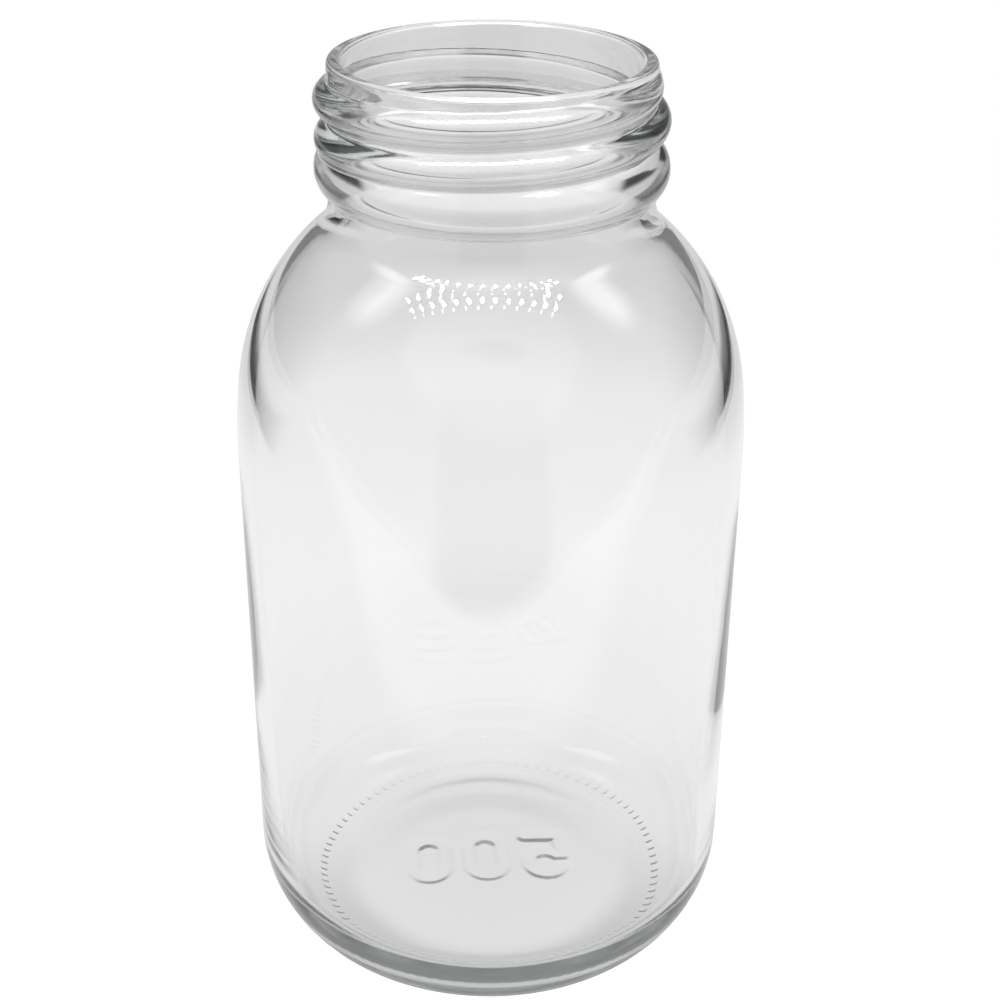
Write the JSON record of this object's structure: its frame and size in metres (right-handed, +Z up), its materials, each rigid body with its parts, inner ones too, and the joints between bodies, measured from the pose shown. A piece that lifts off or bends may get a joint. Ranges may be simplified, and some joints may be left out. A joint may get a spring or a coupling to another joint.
{
  "type": "glass milk bottle",
  "caption": "Wide-mouthed clear glass milk bottle with a straight round body, domed shoulder, rolled bead and right-hand screw finish, open at the top.",
  "frame": {"origin": "on the bottle's axis, in the plane of the ring it stands on", "axes": "+Z up along the axis through the mouth, -Y the pictured front, +X to the right seen from the front"},
  "size_m": [0.0808, 0.0808, 0.1501],
  "materials": {
    "flint_glass": "clear, fire-polished, slightly wavy"
  },
  "bodies": {
    "root": {"sealing_lip": "flint_glass", "neck_tube": "flint_glass", "screw_thread": "flint_glass", "transfer_bead": "flint_glass", "shoulder": "flint_glass", "body_wall": "flint_glass", "heel": "flint_glass", "base_plate": "flint_glass", "bearing_knurls": "flint_glass", "capacity_numerals": "flint_glass"}
  },
  "joints": []
}
